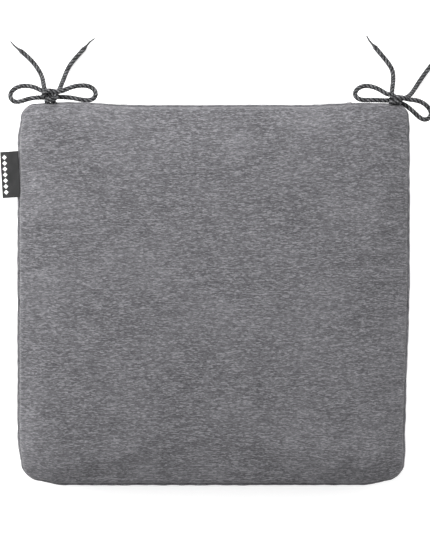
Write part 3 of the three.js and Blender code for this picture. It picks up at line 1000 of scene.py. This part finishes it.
def labelRibbon():
    run = labelSet["length"]
    fold = math.pi * labelSet["layerGap"]
    width = labelHigh.y - labelLow.y
    deselectAll()
    bpy.ops.mesh.primitive_grid_add(x_subdivisions=labelSet["cells"][0], y_subdivisions=labelSet["cells"][1],
                                    size=1)
    ribbon = bpy.context.object
    ribbon.name = "label_ribbon_folded"
    flat = pointsOf(ribbon)
    along = (flat[:, 0] + 0.5) * (2 * run + fold)
    uv = ribbon.data.uv_layers[0]
    uv.name = "pattern"
    for loop, data in zip(ribbon.data.loops, uv.data):
        data.uv = (along[loop.vertex_index], (flat[loop.vertex_index, 1] + 0.5) * width)
    angle = np.clip((along - run) / fold, 0, 1) * math.pi
    out = np.where(along < run, along, np.where(along > run + fold, 2 * run + fold - along, run))
    out = out + labelSet["layerGap"] * np.sin(angle)
    up = labelSet["layerGap"] * np.cos(angle)
    side = flat[:, 1] * width
    wave = np.sin(side / width * labelSet["waveTurn"] + labelSet["waveStart"])
    up += labelSet["wave"] * wave * (out / run) ** labelSet["waveGrowth"]
    setPoints(ribbon, np.column_stack([-out, side, up]))
    wall = ribbon.modifiers.new("wall", "SOLIDIFY")
    wall.thickness = labelSet["thickness"]
    wall.offset = 0
    applyAll(ribbon)
    turn = Matrix.Rotation(math.radians(labelSet["skew"]), 4, "Z") @ Matrix.Rotation(
        -math.radians(labelSet["droop"]), 4, "Y")
    middle = (labelLow.y + labelHigh.y) / 2
    root = Vector((labelHigh.x + labelSet["rootDepth"], middle, coverSet["upperSeam"]))
    ribbon.data.transform(Matrix.Translation(root) @ turn)
    faceOutwards(ribbon)
    smooth(ribbon, 50)
    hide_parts("side_label")
    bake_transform(ribbon)
    return ribbon


sideLabel = labelRibbon()
print("label made")


# Node helpers

def nodeIn(tree, kind, **settings):
    node = tree.nodes.new(kind)
    for key, value in settings.items():
        setattr(node, key, value)
    return node


def feed(tree, socket, value):
    if isinstance(value, bpy.types.NodeSocket):
        tree.links.new(value, socket)
    else:
        socket.default_value = value


def calc(tree, operation, *values, clamp=False):
    node = nodeIn(tree, "ShaderNodeMath", operation=operation, use_clamp=clamp)
    for socket, value in zip(node.inputs, values):
        feed(tree, socket, value)
    return node.outputs[0]


def vectorCalc(tree, operation, *values):
    node = nodeIn(tree, "ShaderNodeVectorMath", operation=operation)
    for socket, value in zip(node.inputs, values):
        feed(tree, socket, value)
    return node.outputs[0]


def noiseAt(tree, vector, detail=2.0, roughness=0.5, size=None):
    # size is how long a patch of the noise is in each direction
    if size:
        vector = vectorCalc(tree, "DIVIDE", vector, size)
    node = nodeIn(tree, "ShaderNodeTexNoise")
    feed(tree, node.inputs["Vector"], vector)
    node.inputs["Scale"].default_value = 1
    node.inputs["Detail"].default_value = detail
    node.inputs["Roughness"].default_value = roughness
    return node.outputs["Fac"]


def spread(tree, value, low, high, toLow=0.0, toHigh=1.0):
    node = nodeIn(tree, "ShaderNodeMapRange")
    for socket, item in zip(node.inputs, (value, low, high, toLow, toHigh)):
        feed(tree, socket, item)
    return node.outputs[0]


def blendColours(tree, factor, a, b):
    node = nodeIn(tree, "ShaderNodeMix", data_type="RGBA")
    feed(tree, node.inputs[0], factor)
    feed(tree, node.inputs[6], a)
    feed(tree, node.inputs[7], b)
    return node.outputs[2]


usualNoise = (0.3, 0.7)  # most of a noise lies between these


def grey(value, warm=0.0):
    return (value * (1 + warm), value, value * (1 - warm), 1)


def newGroup(name, inputs, outputs):
    # An input with no value of its own is a place, and the others are numbers
    group = bpy.data.node_groups.new(name, "ShaderNodeTree")
    for label, value in inputs.items():
        kind = "NodeSocketVector" if value is None else "NodeSocketFloat"
        socket = group.interface.new_socket(name=label, in_out="INPUT", socket_type=kind)
        if value is not None:
            socket.default_value = value
    for label in outputs:
        group.interface.new_socket(name=label, in_out="OUTPUT", socket_type="NodeSocketFloat")
    return group, group.nodes.new("NodeGroupInput").outputs, group.nodes.new("NodeGroupOutput").inputs


def placed(tree, group, **values):
    node = nodeIn(tree, "ShaderNodeGroup", node_tree=group)
    for key, value in values.items():
        feed(tree, node.inputs[key], value)
    return node.outputs


def newMaterial(name, **constants):
    material = bpy.data.materials.new(name)
    material.use_nodes = True
    shader = material.node_tree.nodes["Principled BSDF"]
    for key, value in constants.items():
        shader.inputs[key.replace("_", " ")].default_value = value
    return material, material.node_tree, shader.inputs


def bumpInto(tree, shader, height, distance, strength=1.0):
    node = nodeIn(tree, "ShaderNodeBump")
    node.inputs["Strength"].default_value = strength
    node.inputs["Distance"].default_value = distance
    feed(tree, node.inputs["Height"], height)
    feed(tree, shader["Normal"], node.outputs["Normal"])


def patternPlace(tree):
    # The cloth's flat pattern, in millimetres
    node = nodeIn(tree, "ShaderNodeUVMap", uv_map="pattern")
    return vectorCalc(tree, "MULTIPLY", node.outputs[0], (1000, 1000, 1000))


def solidPlace(tree):
    node = nodeIn(tree, "ShaderNodeTexCoord")
    return vectorCalc(tree, "MULTIPLY", node.outputs["Object"], (1000, 1000, 1000))


def wear(*pieces, material):
    for piece in pieces:
        piece.data.materials.clear()
        piece.data.materials.append(material)


# Shared effects

yarnSet = {"startRange": 200, "apart": 0.43, "softEdge": 0.09}


def slubGroup():
    # Short thick stretches in the yarns that run along the first axis, at a different place in each yarn
    group, given, result = newGroup(
        "slub_yarns", {"Place": None, "Length": 5.0, "Width": 0.9, "Seed": 0.0, "Share": 0.5}, ["Mask"])
    split = nodeIn(group, "ShaderNodeSeparateXYZ")
    feed(group, split.inputs[0], given["Place"])
    yarn = calc(group, "FLOOR", calc(group, "DIVIDE", split.outputs[1], given["Width"]))
    chance = nodeIn(group, "ShaderNodeTexWhiteNoise", noise_dimensions="1D")
    feed(group, chance.inputs["W"], calc(group, "ADD", yarn, given["Seed"]))
    start = calc(group, "MULTIPLY", chance.outputs["Value"], yarnSet["startRange"])
    at = nodeIn(group, "ShaderNodeCombineXYZ")
    along = calc(group, "DIVIDE", split.outputs[0], given["Length"])
    feed(group, at.inputs[0], calc(group, "ADD", along, start))
    feed(group, at.inputs[1], calc(group, "MULTIPLY", yarn, yarnSet["apart"]))
    feed(group, at.inputs[2], given["Seed"])
    value = noiseAt(group, at.outputs[0], 1.0, 0.5)
    high = calc(group, "ADD", given["Share"], yarnSet["softEdge"])
    feed(group, result["Mask"], spread(group, value, given["Share"], high))
    return group


def weaveGroup():
    # Plain weave: two sets of yarns that pass over and under each other
    group, given, result = newGroup(
        "plain_weave", {"Place": None, "Across": 0.9, "Along": 0.7}, ["Height", "Gaps"])
    split = nodeIn(group, "ShaderNodeSeparateXYZ")
    feed(group, split.inputs[0], given["Place"])
    turnX = calc(group, "MULTIPLY", calc(group, "DIVIDE", split.outputs[0], given["Across"]), math.pi)
    turnY = calc(group, "MULTIPLY", calc(group, "DIVIDE", split.outputs[1], given["Along"]), math.pi)
    over = calc(group, "MULTIPLY", calc(group, "SINE", turnX), calc(group, "SINE", turnY))
    feed(group, result["Height"], calc(group, "ABSOLUTE", over))
    feed(group, result["Gaps"], spread(group, calc(group, "ABSOLUTE", over), 0.0, 0.35, 1.0, 0.0))
    return group


slubYarns = slubGroup()
plainWeave = weaveGroup()


# Materials

clothSet = {
    "base": (0.142, 0.140, 0.150, 1),
    "dark": (0.034, 0.0335, 0.037, 1),
    "light": (0.4, 0.395, 0.42, 1),
    "roughness": 0.92,
    "sheen": 0.25,
    "darkSlubs": {"Length": 4.6, "Width": 0.6, "Seed": 3.0, "Share": 0.5},  # in millimetres
    "lightSlubs": {"Length": 4.4, "Width": 0.6, "Seed": 11.0, "Share": 0.52},
    "longSlubs": {"Length": 20.0, "Width": 1.1, "Seed": 23.0, "Share": 0.48},
    "weave": {"Across": 0.62, "Along": 0.5},
    "grain": (1.3, 0.7, 1),
    "clouds": (70, 55, 1),
    "relief": 0.12 * mm,
    # how much each effect shows
    "darkShare": 0.62,
    "lightShare": 0.5,
    "longShare": 0.36,
    "grainShare": 0.2,
    "cloudShare": 0.08,
    "gapShare": 0.3,
    # painted shade: how dark the cloth is made right at the seam groove
    "paintedSeamShade": 0.28,
    "lightRelief": 0.8,
    "darkRelief": 0.62,
}


def clothMaterial():
    material, tree, shader = newMaterial("melange cloth", Roughness=clothSet["roughness"],
                                         Sheen_Weight=clothSet["sheen"], Sheen_Roughness=0.5,
                                         Specular_IOR_Level=0.2)
    place = patternPlace(tree)
    darkSlub, lightSlub, longSlub = (
        placed(tree, slubYarns, Place=place, **clothSet[kind])["Mask"]
        for kind in ("darkSlubs", "lightSlubs", "longSlubs"))
    weave = placed(tree, plainWeave, Place=place, **clothSet["weave"])
    grain = noiseAt(tree, place, size=clothSet["grain"])
    clouds = noiseAt(tree, place, size=clothSet["clouds"])
    seam = nodeIn(tree, "ShaderNodeAttribute", attribute_name="seam").outputs["Fac"]
    colour = clothSet["base"]
    for share, paint in (
            (calc(tree, "MULTIPLY", darkSlub, clothSet["darkShare"]), "dark"),
            (calc(tree, "MULTIPLY", lightSlub, clothSet["lightShare"]), "light"),
            (calc(tree, "MULTIPLY", longSlub, clothSet["longShare"]), "dark"),
            (spread(tree, grain, *usualNoise, 0, clothSet["grainShare"]), "dark"),
            (spread(tree, clouds, 0.35, 0.65, 0, clothSet["cloudShare"]), "light"),
            (calc(tree, "MULTIPLY", weave["Gaps"], clothSet["gapShare"]), "dark"),
            # painted shade in the seam groove, darkest within 0.3 mm of the seam and gone by 1.2 mm
            (spread(tree, seam, 0.3 * mm, 1.2 * mm, clothSet["paintedSeamShade"], 0), "dark")):
        colour = blendColours(tree, share, colour, clothSet[paint])
    feed(tree, shader["Base Color"], colour)
    height = calc(tree, "ADD", weave["Height"], calc(tree, "MULTIPLY", lightSlub, clothSet["lightRelief"]))
    height = calc(tree, "SUBTRACT", height, calc(tree, "MULTIPLY", darkSlub, clothSet["darkRelief"]))
    bumpInto(tree, shader, height, clothSet["relief"], 0.8)
    return material


braidSet = {
    "dark": (0.009, 0.0093, 0.01, 1),
    "middle": (0.075, 0.076, 0.08, 1),
    "light": (0.31, 0.31, 0.32, 1),
}


def braidMaterial():
    material, tree, shader = newMaterial("braided cord", Roughness=0.85, Specular_IOR_Level=0.15)
    yarn = nodeIn(tree, "ShaderNodeAttribute", attribute_name="yarn").outputs["Fac"]
    place = solidPlace(tree)
    fibre = noiseAt(tree, place, 2, size=(0.35, 0.35, 0.35))
    patch = noiseAt(tree, place, 1, size=(2.2, 2.2, 2.2))
    colour = blendColours(tree, spread(tree, yarn, 0.1, 0.75), braidSet["dark"], braidSet["middle"])
    lightYarn = spread(tree, yarn, 0.45, 1.0)
    fleck = calc(tree, "MULTIPLY", lightYarn, spread(tree, patch, 0.35, 0.55, 0.35, 1))
    colour = blendColours(tree, fleck, colour, braidSet["light"])
    colour = blendColours(tree, spread(tree, fibre, 0.35, 0.65, 0, 0.45), colour, braidSet["dark"])
    feed(tree, shader["Base Color"], colour)
    bumpInto(tree, shader, fibre, 0.1 * mm, 0.6)
    return material


def mottled(name, finish, **constants):
    # Two tones mixed by one noise, which the gloss or the relief may follow
    material, tree, shader = newMaterial(name, **constants)
    pattern = noiseAt(tree, solidPlace(tree), finish["detail"], size=finish["patch"])
    feed(tree, shader["Base Color"], blendColours(tree, pattern, finish["dark"], finish["light"]))
    if "gloss" in finish:
        feed(tree, shader["Roughness"], spread(tree, pattern, *usualNoise, *finish["gloss"]))
    if "relief" in finish:
        bumpInto(tree, shader, pattern, finish["relief"], 0.6)
    return material


cordEndSet = {
    "detail": 2,
    "patch": (0.4, 0.4, 0.4),
    "dark": braidSet["dark"],
    "light": braidSet["middle"],
    "relief": 0.1 * mm,
}


ribbonSet = {
    "dark": (0.012, 0.0122, 0.0126, 1),
    "light": (0.024, 0.0242, 0.0248, 1),
    "motif": (0.8, 0.8, 0.8, 1),
    "motifs": 7,
    "motifPitch": 5.9,
    "motifFromFold": 3.7,
    "motifHalf": 2.4,
}


def ribbonMaterial():
    material, tree, shader = newMaterial("satin ribbon", Roughness=0.55, Specular_IOR_Level=0.25)
    place = patternPlace(tree)
    split = nodeIn(tree, "ShaderNodeSeparateXYZ")
    feed(tree, split.inputs[0], place)
    weave = placed(tree, plainWeave, Place=place, Across=0.34, Along=0.22)
    patch = noiseAt(tree, place, 1, size=(9, 14, 1))
    colour = blendColours(tree, spread(tree, patch, *usualNoise), ribbonSet["dark"], ribbonSet["light"])
    middle = labelSet["length"] / mm - ribbonSet["motifFromFold"]
    aside = calc(tree, "ABSOLUTE", calc(tree, "SUBTRACT", split.outputs[0], middle))
    halfWidth = (labelHigh.y - labelLow.y) / 2 / mm
    fromMiddle = calc(tree, "SUBTRACT", split.outputs[1], halfWidth)
    halfPitch = ribbonSet["motifPitch"] / 2
    cell = calc(tree, "WRAP", fromMiddle, halfPitch, -halfPitch)
    reach = calc(tree, "ADD", aside, calc(tree, "ABSOLUTE", cell))
    lozenge = spread(tree, reach, ribbonSet["motifHalf"], ribbonSet["motifHalf"] + 0.2, 1, 0)
    inside = calc(tree, "LESS_THAN", calc(tree, "ABSOLUTE", fromMiddle), ribbonSet["motifs"] * halfPitch)
    colour = blendColours(tree, calc(tree, "MULTIPLY", lozenge, inside), colour, ribbonSet["motif"])
    feed(tree, shader["Base Color"], colour)
    bumpInto(tree, shader, weave["Height"], 0.06 * mm, 0.7)
    return material


tapeSet = {
    "dark": grey(0.035, -0.04),
    "light": grey(0.07, -0.04),
    "gaps": grey(0.015),
    "weave": {"Across": 0.8, "Along": 0.45},
}


def tapeMaterial():
    material, tree, shader = newMaterial("zip tape", Roughness=0.85)
    place = solidPlace(tree)
    split = nodeIn(tree, "ShaderNodeSeparateXYZ")
    feed(tree, split.inputs[0], place)
    turned = nodeIn(tree, "ShaderNodeCombineXYZ")
    feed(tree, turned.inputs[0], split.outputs[0])
    feed(tree, turned.inputs[1], split.outputs[2])
    weave = placed(tree, plainWeave, Place=turned.outputs[0], **tapeSet["weave"])
    fibre = noiseAt(tree, turned.outputs[0], 2, size=(2.5, 0.5, 1))
    colour = blendColours(tree, spread(tree, fibre, *usualNoise), tapeSet["dark"], tapeSet["light"])
    colour = blendColours(tree, calc(tree, "MULTIPLY", weave["Gaps"], 0.5), colour, tapeSet["gaps"])
    feed(tree, shader["Base Color"], colour)
    bumpInto(tree, shader, weave["Height"], 0.1 * mm, 0.8)
    return material


coilSet = {
    "detail": 3,
    "patch": (3, 1, 1),
    "dark": grey(0.02),
    "light": grey(0.045, -0.03),
    "gloss": (0.28, 0.45),
}

metalSet = {
    "detail": 4,
    "patch": (1.4, 1.4, 1.4),
    "dark": grey(0.16, -0.02),
    "light": grey(0.34, -0.02),
    "gloss": (0.24, 0.42),
    "scratch": (4, 0.15, 0.15),
    "scratchDepth": 0.02 * mm,
}


def metalMaterial():
    material = mottled("gunmetal", metalSet, Metallic=1.0)
    tree = material.node_tree
    scratch = noiseAt(tree, solidPlace(tree), size=metalSet["scratch"])
    bumpInto(tree, tree.nodes["Principled BSDF"].inputs, scratch, metalSet["scratchDepth"], 0.4)
    return material


# The pores are coloured darker than the struts between them: painted shade in the holes
foamSet = {"paintedPoreShade": (0.52, 0.45, 0.28, 1), "skin": (0.78, 0.71, 0.52, 1), "poresPerMillimetre": 1.1}


def foamMaterial():
    material, tree, shader = newMaterial("cut foam", Roughness=1.0, Specular_IOR_Level=0.1)
    pores = nodeIn(tree, "ShaderNodeTexVoronoi")
    feed(tree, pores.inputs["Vector"], solidPlace(tree))
    pores.inputs["Scale"].default_value = foamSet["poresPerMillimetre"]
    depth = spread(tree, pores.outputs["Distance"], 0.0, 0.5)
    # painted shade: the colour goes darker towards the middle of each pore
    feed(tree, shader["Base Color"], blendColours(tree, depth, foamSet["paintedPoreShade"], foamSet["skin"]))
    bumpInto(tree, shader, depth, 0.4 * mm, 0.8)
    return material


waddingSet = {"shade": grey(0.7), "fibre": grey(0.9)}


def waddingMaterial():
    material, tree, shader = newMaterial("polyester wadding", Roughness=1.0, Sheen_Weight=0.4,
                                         Specular_IOR_Level=0.1)
    place = solidPlace(tree)
    strands = noiseAt(tree, place, 4, 0.7, size=(6, 0.7, 0.7))
    tufts = noiseAt(tree, place, 2, size=(9, 9, 9))
    feed(tree, shader["Base Color"], blendColours(tree, strands, waddingSet["shade"], waddingSet["fibre"]))
    bumpInto(tree, shader, calc(tree, "ADD", strands, tufts), 0.5 * mm, 0.7)
    return material


threadSet = {
    "detail": 1,
    "patch": (0.3, 0.5, 0.3),
    "dark": grey(0.16, -0.02),
    "light": grey(0.3, -0.02),
}

wear(*coverPieces.values(), material=clothMaterial())
wear(*cords, material=braidMaterial())
wear(*cordEnds, material=mottled("melted cord end", cordEndSet, Roughness=0.6, Specular_IOR_Level=0.25))
wear(sideLabel, material=ribbonMaterial())
wear(*tapes, material=tapeMaterial())
wear(*coils, material=mottled("coil plastic", coilSet, IOR=1.5))
wear(*zipMetalPieces, material=metalMaterial())
wear(*stitches, material=mottled("sewing thread", threadSet, Roughness=0.6, Sheen_Weight=0.2))
wear(foamSlab, material=foamMaterial())
wear(waddingLayer, material=waddingMaterial())
print("materials made")


# Light and floor

lightSet = {
    "world": 0.38,
    "rear": {"place": (-0.2, 0.85, 0.75), "size": 0.8, "power": 15.5},
    "left": {"place": (-1.3, 0.1, 0.5), "size": 0.8, "power": 16},
    "right": {"place": (1.3, 0.2, 0.6), "size": 0.8, "power": 7},
    "floorSize": 8,
    "floorDrop": 0.2 * mm,  # just under the underside
    "floorGrey": 0.75,
    "floorGlow": 0.62,  # lit from below, as a light table is
}


def softBox(name, place, size, power):
    data = bpy.data.lights.new(name, "AREA")
    data.shape = "SQUARE"
    data.size = size
    data.energy = power
    lamp = bpy.data.objects.new(name, data)
    lamp.location = place
    lamp.rotation_euler = (-Vector(place)).to_track_quat("-Z", "Y").to_euler()
    bpy.context.scene.collection.objects.link(lamp)


softBox("rear_light", **lightSet["rear"])
softBox("left_light", **lightSet["left"])
softBox("right_light", **lightSet["right"])

world = bpy.data.worlds.new("studio")
bpy.context.scene.world = world
world.use_nodes = True
worldNodes = world.node_tree.nodes
worldNodes["Background"].inputs["Color"].default_value = grey(1)
seen = worldNodes.new("ShaderNodeLightPath").outputs["Is Camera Ray"]
# White where it is seen, and softer as light
strength = spread(world.node_tree, seen, 0.0, 1.0, lightSet["world"], 1.0)
world.node_tree.links.new(strength, worldNodes["Background"].inputs["Strength"])

deselectAll()
bpy.ops.mesh.primitive_plane_add(size=lightSet["floorSize"], location=(0, 0, -lightSet["floorDrop"]))
floor = bpy.context.object
floor.name = "floor"
floorMaterial, _, floorShader = newMaterial("pale floor", Roughness=0.9)
floorShader["Base Color"].default_value = grey(lightSet["floorGrey"])
floorShader["Emission Color"].default_value = grey(1)
floorShader["Emission Strength"].default_value = lightSet["floorGlow"]
wear(floor, material=floorMaterial)
print("light and floor made")
